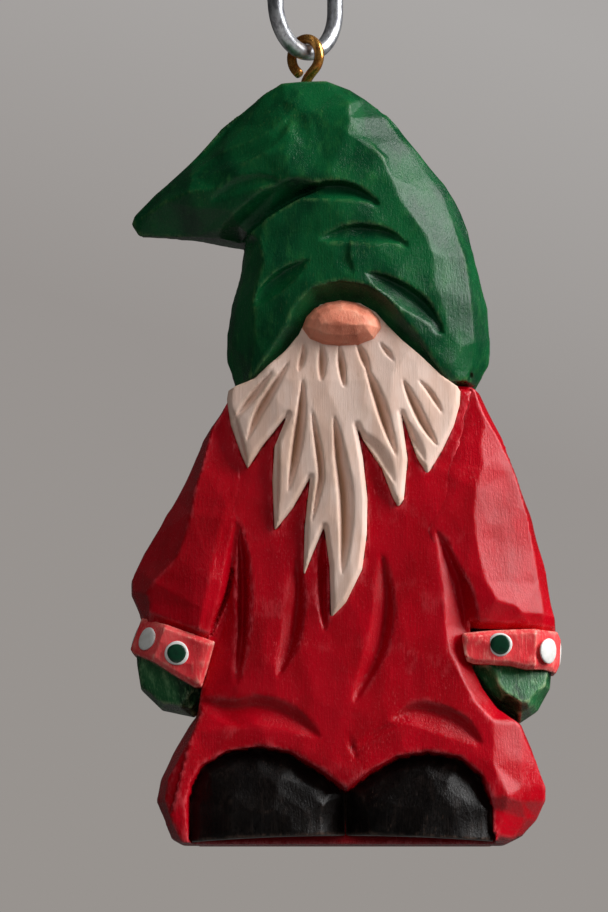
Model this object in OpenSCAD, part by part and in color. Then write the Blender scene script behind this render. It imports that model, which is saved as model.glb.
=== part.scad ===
// Carved wooden tomte gnome with a brass screw eye in the crown of its hat and
// a steel link through the eye. X runs across the figure, -Y is its front and
// Z is up. The origin is on the underside of the base, below the middle of the
// figure. Left and right are the viewer's, looking at the front.

/* [Figure] */
// Height of the carved wood, from the base to the crown of the hat
wood_h = 100; // [90:1:110]
// Depth of the carved wood, from the toes to the back of the hem
wood_t = 25; // [22:1:28]
// How far the beard stands forward of the coat
beard_relief = 2; // [1:0.25:3]
// Height of each cuff band
cuff_h = 4.9; // [4:0.1:6]
// Diameter of each painted dot on the cuffs
dot_d = 3.2; // [2.5:0.1:3.6]
// Diameter of the green centre of a painted dot
dot_centre_d = 2.4; // [1.5:0.1:2.4]
// Thickness of each coat of paint on a dot
dot_t = 0.2; // [0.1:0.05:0.4]

/* [Screw eye] */
// Diameter of the brass wire
eye_wire_d = 1.3; // [1:0.1:1.4]
// Inside diameter of the loop
eye_inner_d = 3.4; // [3.2:0.1:3.6]
// Length of the threaded shank inside the wood
shank_len = 8; // [6:0.5:10]
// Thread pitch
thread_pitch = 0.7; // [0.5:0.1:1]
// Turn of the loop about its shank, from facing the viewer
eye_turn = -40; // [-90:5:90]

/* [Hanging link] */
// Diameter of the steel wire
link_wire_d = 2.1; // [1.6:0.1:2.2]
// Radius of each end bend, at the middle of the wire
link_bend_r = 6.1; // [5:0.1:7]
// Length of each straight leg
link_leg = 8; // [4:0.5:12]

/* [Hidden] */

$fn = 48;
far = 60;              // reach of a cutting block beyond the figure
scale_up = wood_h / 100; // the outlines below are drawn 100 mm tall
deep = wood_t / 25 / scale_up; // and 25 mm deep

neck_z = 59.4;         // where the hat sits on the shoulders
pocket_y = -7;         // back of the nose, the boots and the middle of the beard
beard_y = -8.6 - beard_relief;
base_arch = [[-20, -1], [-20, 0.1], [-8, 0.6], [-0.1, 1], [9, 0.8], [19, 0.4], [19, -1]];

// Plan of the beard, seen from above: its front, and its back, which wraps the coat
beard_front = [[-16.5, -6], [-9, beard_y], [9, beard_y], [16.5, -6]];
beard_back = [[16.5, -4], [11, pocket_y], [-11, pocket_y], [-16.5, -4]];

// Coat stations: height, left, right, front, back, corner width, corner depth
coat_stations = [
    [0, -22.4, 21.8, -10.6, 11.2, 4.5, 4.5],
    [6.5, -24.8, 26, -11.9, 12.5, 6, 5],
    [16, -20.6, 22.8, -10.6, 11.2, 5, 4.5],
    [26, -19.6, 20.5, -9.8, 10.2, 5, 4],
    [41, -19, 19, -9.3, 9.6, 5, 4],
    [neck_z, -15.6, 17.4, -8.4, 8.6, 4, 3.5]
];
// Sleeve stations, in the same form
sleeve_left_stations = [
    [16, -26.6, -8, -9.3, 7.8, 3.4, 3.9],
    [29.6, -27, -8, -9.3, 7.8, 3.4, 3.9],
    [33.4, -28.2, -8, -9.8, 8.3, 3.6, 4],
    [36.2, -27.6, -8, -9.8, 8.3, 3.6, 4],
    [41.3, -24.7, -8, -9.4, 8.2, 3.6, 4],
    [50.4, -20, -8, -8.8, 8, 3, 3.6],
    [neck_z, -15.3, -8, -8, 7.6, 2, 3]
];
sleeve_right_stations = [
    [16, 8, 27.5, -9.5, 8, 3.6, 4.2],
    [30.3, 8, 27.5, -9.7, 8.2, 3.6, 4.2],
    [43.9, 8, 23.7, -9.3, 8.2, 3.6, 4.2],
    [49.8, 8, 21.8, -8.8, 8, 3, 3.8],
    [neck_z, 8, 17.2, -8, 7.6, 2, 3]
];
// Hat stations, up the crown
crown_stations = [
    [neck_z, -14.9, 17.1, -10.6, 10.2, 4, 4],
    [66, -15.6, 18.6, -11.6, 11.2, 5, 5],
    [73, -14.4, 18.1, -11.4, 11, 5.5, 5],
    [79, -13.2, 16.6, -10.6, 10.2, 6, 4.5],
    [83, -13.2, 15.2, -9.8, 9.4, 6, 4.5],
    [91, -14, 10, -7.6, 7.2, 5, 3.5],
    [97, -13, 3.4, -4.8, 4.6, 3, 2.2],
    [100, -8.4, -2, -2.6, 2.6, 1.4, 1]
];
// Tip stations: distance out, bottom, top, front, back, corner height, depth
tip_stations = [
    [8, 78.8, 97, -7.6, 7.2, 5, 3.5],
    [13, 78.8, 97, -7.4, 7, 5, 3.5],
    [20.2, 79.2, 91, -5.6, 5.2, 3.2, 2.6],
    [26, 79.8, 84.4, -2.8, 2.4, 1.2, 1.2],
    [28.3, 80.6, 82, -1.2, 0.9, 0.4, 0.5]
];

// Seams between the arms and the coat, from the shoulder down
seam_left = [[-15.4, neck_z], [-14, 41], [-17.4, 26], [-19.6, 16.7]];
seam_right = [[17.3, neck_z], [11.4, 40.5], [15.1, 31], [16.2, 24], [19.3, 18.1], [22.6, 15.8]];
// Lower edge of the hat over the face, from left to right
brim_arch = [
    [-14, neck_z], [-11.9, 60.3], [-8, 63.8], [-5.2, 68.3], [-2.9, 70.2], [-0.6, 70.7],
    [1.8, 70.2], [5.1, 67.4], [9.7, 63.3], [12.3, 60.6], [14.4, neck_z]
];
// Locks of the beard, from its right corner round to its left corner
beard_locks = [
    [14.8, 58.6], [13.8, 54.2], [10.5, 47.8], [7.6, 53.2], [6.9, 56],
    [7.9, 50], [6.9, 43.6], [4.2, 49.4], [1.4, 54], [2.7, 46.4],
    [2.4, 38.3], [-2, 29.2], [-2.3, 36.2], [-2.9, 41], [-5.6, 34.4],
    [-5.4, 43], [-4.8, 46.4], [-9.3, 40.5], [-9.5, 48.4], [-7.8, 55.3],
    [-12.8, 48.6], [-14.7, 54], [-15.3, 58.4]
];
boot_left_outline = [
    [-20, 0.1], [-20.3, 4.6], [-18.9, 9.4], [-15.4, 11.8], [-11.3, 12.5],
    [-7.4, 11.6], [-3.6, 9.2], [-0.1, 6.6], [-0.1, 1], [-8, 0.6]
];
boot_right_outline = [
    [-0.1, 1], [-0.1, 6.6], [3.4, 9.2], [6.5, 11], [10.3, 11.7],
    [14.4, 11], [17.2, 8.6], [18.7, 4.6], [19, 0.4], [9, 0.8]
];
mitten_left_outline = [[-27.4, 26], [-26.8, 20.4], [-24, 17.7], [-19.7, 16.9], [-18, 19], [-18, 25]];
mitten_right_outline = [
    [15.5, 25], [16.6, 21.8], [19.3, 18.1], [22.6, 15.9], [24.9, 17.7], [26.5, 20.4], [26.7, 25]
];

// Cuffs: side, centre across, centre height, tilt, width, distance of the front
// dot from the centre, how much more the lower edge is tilted than the upper
// one, and the front dot's height over the centre
cuff_left_place = [-1, -22.7, 25.5, 20, 10, 1, 10, -0.5];
cuff_right_place = [1, 21.9, 25.3, 3, 11.8, 2.1, 0, 0.4];
cuff_front = -9.9;
cuff_back = 8.4;
cuff_corner_w = 3.4;
cuff_corner_d = 4;

mitten_left_front = -7.4;
mitten_right_front = -9;
mitten_back = 6.6;
mitten_round = 3.2;    // depth of the mitten's rounded front and back

// Nose, tucked under the lower edge of the hat
nose_outline = [
    [-5.2, 68.3], [-5.7, 66.6], [-4.7, 65.2], [-2.7, 64.5], [-0.6, 64.4],
    [1.5, 64.5], [3.5, 65.2], [4.5, 66.6], [4.2, 68.2], [1.8, 70.2], [-0.6, 70.7], [-2.9, 70.2]
];

eye_at = [-5.3 * scale_up, 0, wood_h];
eye_r = (eye_inner_d + eye_wire_d) / 2;  // loop radius, at the middle of the wire
eye_rise = eye_r * sqrt(2) + 0.4;        // height of the loop's centre over the crown
thread_gap = 0.05;                       // running clearance of the shank in its hole
link_play = 0.06;                        // gap between the link and the top of the loop
link_drop = eye_inner_d / 2 - link_play - link_wire_d / 2; // link's bottom wire above the loop's centre

// Eight points of a chamfered rectangle at height z
function octagon(x0, x1, y0, y1, cx, cy, z) = [
    [x0 + cx, y0, z], [x1 - cx, y0, z], [x1, y0 + cy, z], [x1, y1 - cy, z],
    [x1 - cx, y1, z], [x0 + cx, y1, z], [x0, y1 - cy, z], [x0, y0 + cy, z]
];
function ring(s) = octagon(s[1], s[2], s[3] * deep, s[4] * deep, s[5], s[6] * deep, s[0]);

// Flat-faceted skin through the stations, one ring of eight points each
module loft(stations) {
    n = 8;
    last = len(stations) - 1;
    rings = [for (s = stations) each ring(s)];
    sides = [for (k = [0:last - 1]) for (i = [0:n - 1])
        let (a = k * n + i, b = k * n + (i + 1) % n)
        each [[a, a + n, b + n], [a, b + n, b]]];
    bottom = [for (i = [0:n - 1]) i];
    top = [for (i = [n - 1:-1:0]) last * n + i];
    polyhedron(points = rings, faces = concat([bottom, top], sides));
}

// Outline drawn across and up, carried from y0 to y1 through the figure
module prism(outline, y0, y1) {
    translate([0, y1 * deep, 0]) rotate([90, 0, 0])
        linear_extrude((y1 - y0) * deep) polygon(outline);
}

// Rounded relief on an outline: full size at its back, inset at its front
module relief(outline, y_back, y_mid, y_front, inset) {
    hull() {
        prism(outline, y_mid, y_back);
        translate([0, (y_front + 0.1) * deep, 0]) rotate([90, 0, 0])
            linear_extrude(0.1 * deep) offset(delta = -inset) polygon(outline);
    }
}

module arm_zone(side) {
    seam = side < 0 ? seam_left : seam_right;
    last = seam[len(seam) - 1];
    shoulder = neck_z + 1;
    prism(
        concat(seam, [[side * far, last[1]], [side * far, shoulder], [seam[0][0], shoulder]]),
        -far, far
    );
}

// Everything in front of the back of the beard
module ahead_of_beard_back() {
    linear_extrude(2 * far) scale([1, deep]) polygon(concat(
        [[-far, -far], [far, -far], [far, beard_back[0][1]]],
        beard_back,
        [[-far, beard_back[3][1]]]
    ));
}

module face_zone() {
    intersection() {
        prism(brim_arch, -far, 0);
        ahead_of_beard_back();
    }
}

module beard_zone() {
    intersection() {
        prism(concat(beard_locks, brim_arch), -far, 0);
        ahead_of_beard_back();
    }
}

module boots_zone() {
    prism(boot_left_outline, -far, pocket_y);
    prism(boot_right_outline, -far, pocket_y);
    // clears the wood below the arch of the soles
    prism(base_arch, -far, pocket_y);
}

// Puts children in a cuff's own frame: across, front to back, up its band
module at_cuff(place) {
    translate([place[1], 0, place[2]]) rotate([0, place[3], 0]) children();
}

// Everything above a cuff's lower edge, which turns about a point near its outer end
module above_cuff_bottom(place) {
    at_cuff(place) translate([-2.4, 0, -cuff_h / 2]) rotate([0, place[6], 0])
        translate([-far, -far, 0]) cube([2 * far, 2 * far, far]);
}

module below_cuff_top(place) {
    at_cuff(place) translate([-far, -far, cuff_h / 2 - far]) cube([2 * far, 2 * far, far]);
}

module coat() {
    color("crimson") difference() {
        loft(coat_stations);
        arm_zone(-1);
        arm_zone(1);
        beard_zone();
        boots_zone();
    }
}

module sleeve(side) {
    place = side < 0 ? cuff_left_place : cuff_right_place;
    color("crimson") difference() {
        intersection() {
            loft(side < 0 ? sleeve_left_stations : sleeve_right_stations);
            arm_zone(side);
        }
        below_cuff_top(place);
        beard_zone();
    }
}

module cuff(side) {
    place = side < 0 ? cuff_left_place : cuff_right_place;
    half = place[4] / 2;
    outline = [for (p = octagon(-half, half, cuff_front * deep, cuff_back * deep,
        cuff_corner_w, cuff_corner_d * deep, 0)) [p[0], p[1]]];
    color("indianred") intersection() {
        at_cuff(place) translate([0, 0, cuff_h / 2 - far]) linear_extrude(far) polygon(outline);
        above_cuff_bottom(place);
        arm_zone(side);
    }
}

module mitten(side) {
    place = side < 0 ? cuff_left_place : cuff_right_place;
    outline = side < 0 ? mitten_left_outline : mitten_right_outline;
    mitten_front = side < 0 ? mitten_left_front : mitten_right_front;
    color("darkgreen") difference() {
        intersection() {
            hull() {
                prism(outline, mitten_front + mitten_round, mitten_back - mitten_round);
                translate([0, mitten_back * deep, 0]) rotate([90, 0, 0])
                    linear_extrude((mitten_back - mitten_front) * deep)
                        offset(delta = -2) polygon(outline);
            }
            arm_zone(side);
        }
        above_cuff_bottom(place);
    }
}

// Places children on each facet of a cuff that carries a dot: front, front
// corner, side, back corner and back. every is 1 for all, or 4 for front and back.
module on_facets(side, every) {
    place = side < 0 ? cuff_left_place : cuff_right_place;
    half = place[4] / 2;
    y0 = cuff_front * deep;
    y1 = cuff_back * deep;
    cw = cuff_corner_w;
    cd = cuff_corner_d * deep;
    corner_turn = atan2(cd, cw);
    spots = [
        [-side * place[5], y0, 0],
        [side * (half - cw / 2), y0 + cd / 2, corner_turn],
        [side * half, (y0 + y1) / 2, 90],
        [side * (half - cw / 2), y1 - cd / 2, 180 - corner_turn],
        [-side * place[5], y1, 180]
    ];
    at_cuff(place) for (i = [0:every:4])
        translate([spots[i][0], spots[i][1], i % 4 == 0 ? place[7] : 0])
            rotate([0, 0, side * spots[i][2]]) rotate([90, 0, 0]) children();
}

module white_dots(side) {
    color("white") on_facets(side, 1) cylinder(d = dot_d, h = dot_t);
}

module green_dots(side) {
    color("green") on_facets(side, 4) translate([0, 0, dot_t])
        cylinder(d = dot_centre_d, h = dot_t);
}

module hat() {
    color("seagreen") difference() {
        union() {
            loft(crown_stations);
            // the tip's stations run out to the left, so it is laid on its side
            rotate([0, -90, 0]) loft(tip_stations);
        }
        face_zone();
        translate([eye_at[0] / scale_up, 0, 100 - (shank_len + 1) / scale_up])
            cylinder(r = (eye_wire_d / 2 + thread_gap) / scale_up, h = far);
    }
}

module beard() {
    color("wheat") difference() {
        intersection() {
            beard_zone();
            linear_extrude(wood_h) scale([1, deep]) polygon(concat(beard_front, beard_back));
        }
        prism(nose_outline, -far, pocket_y);
    }
}

module nose() {
    color("peru") relief(nose_outline, pocket_y, -10.6, -wood_t / 2 / deep, 1.7);
}

module boot(outline) {
    color("dimgray") relief(outline, pocket_y, -11, -wood_t / 2 / deep, 2);
}

// Wire loop with a straight side down to the shank, and one that stops at a cut
module screw_eye() {
    cut_back = 1.1;        // the free end stops short of the shank
    ridge_r = eye_wire_d / 2;
    core_r = ridge_r * 0.7;
    plain = 0.8;           // unthreaded neck below the crown
    tip = 1;
    turns = floor((shank_len - plain - tip) / thread_pitch);
    knee = eye_rise - eye_r * sqrt(2); // height at which the side meets the shank
    thread = [for (i = [0:turns - 1]) let (z = -plain - i * thread_pitch) each [
        [ridge_r, z], [core_r, z - thread_pitch * 0.3], [core_r, z - thread_pitch * 0.7]
    ]];
    color("goldenrod") translate(eye_at) {
        translate([0, 0, eye_rise]) rotate([0, 0, eye_turn]) {
            rotate([90, 0, 0]) rotate([0, 0, -45]) rotate_extrude(angle = 270)
                translate([eye_r, 0]) circle(d = eye_wire_d, $fn = 32);
            rotate([0, 45, 0]) translate([eye_r, 0, -eye_r])
                cylinder(d = eye_wire_d, h = eye_r, $fn = 32);
            rotate([0, -45, 0]) translate([-eye_r, 0, cut_back - eye_r])
                cylinder(d = eye_wire_d, h = eye_r - cut_back, $fn = 32);
        }
        translate([0, 0, knee]) sphere(d = eye_wire_d + 0.04, $fn = 32);
        rotate_extrude() polygon(concat(
            [[0, knee], [ridge_r, knee], [ridge_r, -plain]],
            thread,
            [[core_r, -shank_len + tip], [0, -shank_len]]
        ));
    }
}

// Closed oval of round wire, standing in the loop
module hanging_link() {
    rise = eye_rise + link_drop;
    color("silver") translate([eye_at[0], eye_at[1], eye_at[2] + rise])
        rotate([0, 0, eye_turn + 90]) rotate([90, 0, 0]) {
            translate([0, link_bend_r]) rotate([0, 0, 180]) rotate_extrude(angle = 180)
                translate([link_bend_r, 0]) circle(d = link_wire_d, $fn = 32);
            translate([0, link_bend_r + link_leg]) rotate_extrude(angle = 180)
                translate([link_bend_r, 0]) circle(d = link_wire_d, $fn = 32);
            for (side = [-1, 1]) translate([side * link_bend_r, link_bend_r])
                rotate([-90, 0, 0]) cylinder(d = link_wire_d, h = link_leg, $fn = 32);
        }
}

module wood() {
    scale(scale_up) children();
}

wood() coat();
wood() hat();
wood() beard();
wood() nose();
wood() boot(boot_left_outline);  // boot_left
wood() boot(boot_right_outline);  // boot_right
wood() sleeve(-1);  // sleeve_left
wood() sleeve(1);  // sleeve_right
wood() cuff(-1);  // cuff_left
wood() cuff(1);  // cuff_right
wood() mitten(-1);  // mitten_left
wood() mitten(1);  // mitten_right
wood() white_dots(-1);  // white_dots_left
wood() white_dots(1);  // white_dots_right
wood() green_dots(-1);  // green_dots_left
wood() green_dots(1);  // green_dots_right
screw_eye();
hanging_link();
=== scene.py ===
"""A carved and painted wooden gnome that hangs from a brass screw eye and a steel link.

Each wooden piece is carved in a grid of depths: how far its front and its back
stand from the figure's middle plane at each place across (x) and up (z). Knife
cuts and gouges lower the grid, and the grid is then meshed as a closed solid.
Lengths in the carving code are millimetres in the CAD's frame: -Y is the front,
and left and right are the viewer's.
"""
import math

import bpy
import numpy as np
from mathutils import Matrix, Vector
from mathutils.geometry import delaunay_2d_cdt


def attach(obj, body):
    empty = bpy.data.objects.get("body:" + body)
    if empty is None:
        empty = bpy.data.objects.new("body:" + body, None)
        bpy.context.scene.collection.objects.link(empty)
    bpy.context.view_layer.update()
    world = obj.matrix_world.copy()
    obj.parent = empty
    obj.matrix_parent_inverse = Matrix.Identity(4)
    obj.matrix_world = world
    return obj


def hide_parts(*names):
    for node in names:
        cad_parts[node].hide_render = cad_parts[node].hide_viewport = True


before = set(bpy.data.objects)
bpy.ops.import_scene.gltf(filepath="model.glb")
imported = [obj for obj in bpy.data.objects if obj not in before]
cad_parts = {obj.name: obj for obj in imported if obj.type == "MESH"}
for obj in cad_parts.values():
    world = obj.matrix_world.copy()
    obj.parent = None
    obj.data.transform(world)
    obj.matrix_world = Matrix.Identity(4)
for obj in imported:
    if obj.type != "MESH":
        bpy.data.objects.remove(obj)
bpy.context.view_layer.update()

MM = 0.001
SIDES = {-1: "left", 1: "right"}  # by the sign of x
chance = np.random.default_rng(12)
wall_chance = np.random.default_rng(11)  # for the knife marks on the side walls alone


# ---------------------------------------------------------------- grid tools

def grid(left, right, low, high, step):
    """Places across as a column and up as a row, with a margin for the mesher."""
    margin = 2 * step
    x = np.arange(left - margin, right + margin + step, step)[:, None]
    z = np.arange(low - margin, high + margin + step, step)[None, :]
    return x, z


def inset(outline, x, z):
    """Distance inside a closed outline, negative outside it."""
    x, z = np.broadcast_arrays(x, z)
    nearest = np.full(x.shape, np.inf)
    inside = np.zeros(x.shape, bool)
    for (x0, z0), (x1, z1) in zip(outline, outline[1:] + outline[:1]):
        dx, dz = x1 - x0, z1 - z0
        t = np.clip(((x - x0) * dx + (z - z0) * dz) / (dx * dx + dz * dz), 0, 1)
        nearest = np.minimum(nearest, np.hypot(x - x0 - t * dx, z - z0 - t * dz))
        crosses = (z0 > z) != (z1 > z)
        inside ^= crosses & (x < x0 + (z - z0) * dx / (dz if dz else 1))
    return np.where(inside, nearest, -nearest)


def smooth_line(points, pieces=8):
    """Points along a smooth curve through the given ones."""
    p = np.array([points[0]] + list(points) + [points[-1]], float)
    t = np.linspace(0, 1, pieces, endpoint=False)[:, None]
    spans = []
    for a, b, c, d in zip(p, p[1:], p[2:], p[3:]):
        spans.append(b + t * (c - a) / 2 + t**2 * (a - 2.5 * b + 2 * c - d / 2)
                     + t**3 * (1.5 * b - 1.5 * c + (d - a) / 2))
    return np.vstack(spans + [p[-1:]])


def beside(line, x, z):
    """Distance to the left of a line, negative to its right, and the share of it passed there."""
    x, z = np.broadcast_arrays(x, z)
    lengths = np.hypot(*np.diff(line, axis=0).T)
    passed = np.concatenate([[0], np.cumsum(lengths)])
    nearest = np.full(x.shape, np.inf)
    side = np.zeros(x.shape)
    share = np.zeros(x.shape)
    for k, length in enumerate(lengths):
        (x0, z0), (dx, dz) = line[k], (line[k + 1] - line[k]) / length
        t = np.clip((x - x0) * dx + (z - z0) * dz, 0, length)
        gap = np.hypot(x - x0 - t * dx, z - z0 - t * dz)
        closer = gap < nearest
        nearest = np.where(closer, gap, nearest)
        side = np.where(closer, np.sign(dx * (z - z0) - dz * (x - x0)), side)
        share = np.where(closer, (passed[k] + t) / passed[-1], share)
    return side * nearest, share


def cut(points, x, z, depth, left, right, hollow=False, ends=(0, 0)):
    """Depth of a tapering cut along a curve: left and right are its widths there.

    ends are the shares of its full size that it keeps at its start and its end.
    A hollow cut is round like a gouge's, and the others are V-shaped.
    """
    side, share = beside(smooth_line(points), x, z)
    taper = np.sin(np.pi * np.clip(share, 0.001, 0.999)) ** 0.6
    taper = np.maximum(taper, np.where(share < 0.5, ends[0], ends[1]))
    width = np.where(side > 0, left, right) * taper
    reach = np.abs(side) / width
    shape = 1 - reach**2 if hollow else 1 - reach
    return depth * taper * np.clip(shape, 0, 1)


def relief(creases, x, z):
    """Depth over the grid, flat between creases: lines of (across, up, depth) points that never cross."""
    spots, edges = {}, []
    for crease in creases:
        numbers = [spots.setdefault(spot, len(spots)) for spot in crease]
        edges += zip(numbers, numbers[1:])
    given = list(spots)
    flat, _, triangles, sources, _, _ = delaunay_2d_cdt([Vector(p[:2]) for p in given], edges, [], 0, 1e-6)
    x, z = np.broadcast_arrays(x, z)
    depth = np.full(x.shape, np.nan)
    for corners in triangles:
        (x0, z0), (x1, z1), (x2, z2) = (flat[k] for k in corners)
        d0, d1, d2 = (given[sources[k][0]][2] for k in corners)
        area = (x1 - x0) * (z2 - z0) - (x2 - x0) * (z1 - z0)
        if abs(area) < 1e-9:
            continue
        b = ((x - x0) * (z2 - z0) - (x2 - x0) * (z - z0)) / area
        c = ((x1 - x0) * (z - z0) - (x - x0) * (z1 - z0)) / area
        within = (b >= -1e-9) & (c >= -1e-9) & (b + c <= 1 + 1e-9)
        depth[within] = (d0 + b * (d1 - d0) + c * (d2 - d0))[within]
    while np.isnan(depth).any():  # the margin round the outline takes the depths next to it
        wide = np.pad(depth, 1, constant_values=np.nan)
        near = np.stack([wide[:-2, 1:-1], wide[2:, 1:-1], wide[1:-1, :-2], wide[1:-1, 2:]])
        known = ~np.isnan(near)
        mean = np.where(known, near, 0).sum(0) / np.maximum(known.sum(0), 1)
        depth = np.where(np.isnan(depth) & known.any(0), mean, depth)
    return depth


def scoops(x, z, across, up, depth, spread=0.5, marks=chance):
    """Shallow knife marks: 0 on the ridges between them, and depth in their middles."""
    x, z = np.broadcast_arrays(x, z)
    best = np.full(x.shape, np.inf)
    for row, cz in enumerate(np.arange(z.min(), z.max() + up, up)):
        for cx in np.arange(x.min() - across * (row % 2) / 2, x.max() + across, across):
            jx, jz, lift = marks.uniform(-1, 1, 3)
            dx = (x - cx - jx * spread * across / 2) / across
            dz = (z - cz - jz * spread * up / 2) / up
            best = np.minimum(best, dx**2 + dz**2 + 0.06 * lift)
    return depth * np.clip(1 - best * 3, -0.3, 1.2)


# ---------------------------------------------------------------- meshing

def closed_mesh(field, start, step):
    """Vertices and quads of the closed surface where a field turns from negative, inside, to positive."""
    cells = np.array(field.shape) - 1
    strides = np.array([cells[1] * cells[2], cells[2], 1])
    inside = field < 0
    owners, points, faces = [], [], []
    for axis in range(3):
        low = [slice(None)] * 3
        high = [slice(None)] * 3
        low[axis], high[axis] = slice(None, -1), slice(1, None)
        crossing = inside[tuple(low)] != inside[tuple(high)]
        at = np.argwhere(crossing)
        a, b = field[tuple(low)][crossing], field[tuple(high)][crossing]
        place = at.astype(float)
        place[:, axis] += a / (a - b)
        u, v = (axis + 1) % 3, (axis + 2) % 3
        around = []
        for du, dv in ((-1, -1), (0, -1), (0, 0), (-1, 0)):
            cell = at.copy()
            cell[:, u] += du
            cell[:, v] += dv
            around.append(cell @ strides)
        around = np.stack(around, 1)
        around[a >= 0] = around[a >= 0][:, ::-1]
        faces.append(around)
        owners.append(around.ravel())
        points.append(np.repeat(place, 4, axis=0))
    owners, points = np.concatenate(owners), np.concatenate(points)
    used, number = np.unique(owners, return_inverse=True)
    share = np.bincount(number)
    verts = np.stack([np.bincount(number, points[:, k]) / share for k in range(3)], 1)
    quads = np.searchsorted(used, np.concatenate(faces))
    return start + verts * step, quads


def fullness(field, verts, start, step, radius):
    """Share of solid within about radius of each vertex: half on a flat, less on an edge."""
    solid = (field < 0).astype(np.float32)
    reach = max(1, int(round(radius / step)))
    for axis in range(3):
        total = np.cumsum(np.pad(solid, [(reach + 1, reach) if k == axis else (0, 0) for k in range(3)],
                                 mode="edge"), axis=axis)
        window = 2 * reach + 1
        far = np.take(total, range(window, total.shape[axis]), axis)
        near = np.take(total, range(total.shape[axis] - window), axis)
        solid = (far - near) / window
    at = np.clip((verts - start) / step, 0, np.array(field.shape) - 1.001)
    base = at.astype(int)
    part = at - base
    value = 0
    for corner in np.ndindex(2, 2, 2):
        weight = np.prod(np.where(corner, part, 1 - part), axis=1)
        value = value + weight * solid[tuple((base + corner).T)]
    return value


def make_mesh(name, verts, faces, body, nodes, material, measures=()):
    """A smooth-shaded piece from millimetre vertices, riding on a body in place of CAD nodes."""
    mesh = bpy.data.meshes.new(name)
    mesh.from_pydata((verts * MM).tolist(), [], [list(f) for f in faces])
    mesh.polygons.foreach_set("use_smooth", [True] * len(mesh.polygons))
    for label, values in measures:
        mesh.attributes.new(label, "FLOAT", "POINT").data.foreach_set("value", values.astype(np.float32))
    mesh.materials.append(material)
    piece = bpy.data.objects.new(name, mesh)
    bpy.context.scene.collection.objects.link(piece)
    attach(piece, body)
    if nodes:
        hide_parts(*nodes)
    return piece


def carve_piece(node, material, region, front, back, x, z, step, also=None, walls=0):
    """Meshes one wooden piece: inside its region, between its back and its front.

    walls is how deep the knife marks are on its sides.
    """
    reach = float(max(front.max(), back.max())) + 3 * step
    y = np.arange(-reach, reach + step, step)
    field = np.maximum(-y[None, :, None] - front[:, None, :], y[None, :, None] - back[:, None, :])
    marks = scoops(y[:, None], z, 5, 8, walls, marks=wall_chance) if walls else 0 * y[:, None]
    field = np.maximum(field, marks[None] - region[:, None, :]).astype(np.float32)
    if also is not None:
        field = np.maximum(field, also(x[:, :, None], y[None, :, None], z[:, None, :])).astype(np.float32)
    start = np.array([x.min(), y[0], z.min()])
    verts, quads = closed_mesh(field, start, step)
    edge = fullness(field, verts, start, step, 0.5)
    bowl = fullness(field, verts, start, step, 1.8)
    # worn marks the sharp edges; the second measure marks the hollows, which the paints darken, partly as
    # pooled paint and partly as painted shade
    measures = (
        ("worn", np.clip((0.455 - edge) / 0.13, 0, 1)),
        ("pooling_and_shade", np.clip((bowl - 0.53) / 0.16, 0, 1)),
    )
    return make_mesh(node + "_carved", verts, quads, "figure", [node], material, measures)


# ---------------------------------------------------------------- materials

class Paint:
    """A node tree being built, with short ways to add and join nodes."""

    def __init__(self, name):
        self.material = bpy.data.materials.new(name)
        self.material.use_nodes = True
        self.tree = self.material.node_tree
        self.shader = self.tree.nodes["Principled BSDF"]
        place = self.tree.nodes.new("ShaderNodeTexCoord").outputs["Object"]
        self.place = self.vector("SCALE", place, scale=1000)

    def put(self, socket, value):
        if isinstance(value, bpy.types.NodeSocket):
            self.tree.links.new(value, socket)
        else:
            socket.default_value = value

    def vector(self, kind, a, b=None, scale=None):
        node = self.tree.nodes.new("ShaderNodeVectorMath")
        node.operation = kind
        self.put(node.inputs[0], a)
        if b is not None:
            self.put(node.inputs[1], b)
        if scale is not None:
            self.put(node.inputs["Scale"], scale)
        return node.outputs[0]

    def math(self, kind, a, b=0.0, c=None, clamp=False):
        node = self.tree.nodes.new("ShaderNodeMath")
        node.operation = kind
        node.use_clamp = clamp
        self.put(node.inputs[0], a)
        self.put(node.inputs[1], b)
        if c is not None:
            self.put(node.inputs[2], c)
        return node.outputs[0]

    def noise(self, size, detail=3, rough=0.55):
        """Noise whose features are about size = (x, y, z) millimetres."""
        node = self.tree.nodes.new("ShaderNodeTexNoise")
        node.inputs["Scale"].default_value = 1
        node.inputs["Detail"].default_value = detail
        node.inputs["Roughness"].default_value = rough
        spot = self.vector("MULTIPLY", self.place, tuple(1 / s for s in size))
        self.put(node.inputs["Vector"], spot)
        return node.outputs["Fac"]

    def between(self, value, low, high):
        """0 at low, 1 at high, and smooth between."""
        node = self.tree.nodes.new("ShaderNodeMapRange")
        node.interpolation_type = "SMOOTHSTEP"
        self.put(node.inputs["Value"], value)
        node.inputs["From Min"].default_value = low
        node.inputs["From Max"].default_value = high
        return node.outputs["Result"]

    def measure(self, label):
        node = self.tree.nodes.new("ShaderNodeAttribute")
        node.attribute_name = label
        return node.outputs["Fac"]

    def mix(self, share, a, b):
        node = self.tree.nodes.new("ShaderNodeMix")
        node.data_type = "RGBA"
        self.put(node.inputs[0], share)
        self.put(node.inputs[6], (*a, 1) if isinstance(a, tuple) else a)
        self.put(node.inputs[7], (*b, 1) if isinstance(b, tuple) else b)
        return node.outputs[2]

    def bump(self, height, depth):
        """Bumps of depth millimetres where height goes from 0 to 1."""
        node = self.tree.nodes.new("ShaderNodeBump")
        node.inputs["Strength"].default_value = 1
        node.inputs["Distance"].default_value = depth * MM
        self.put(node.inputs["Height"], height)
        self.put(self.shader.inputs["Normal"], node.outputs[0])


def rgb(red, green, blue):
    """A colour from screen values of 0 to 255."""
    values = (red, green, blue)
    return tuple(v / 255 / 12.92 if v <= 10 else ((v / 255 + 0.055) / 1.055) ** 2.4 for v in values)


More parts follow.
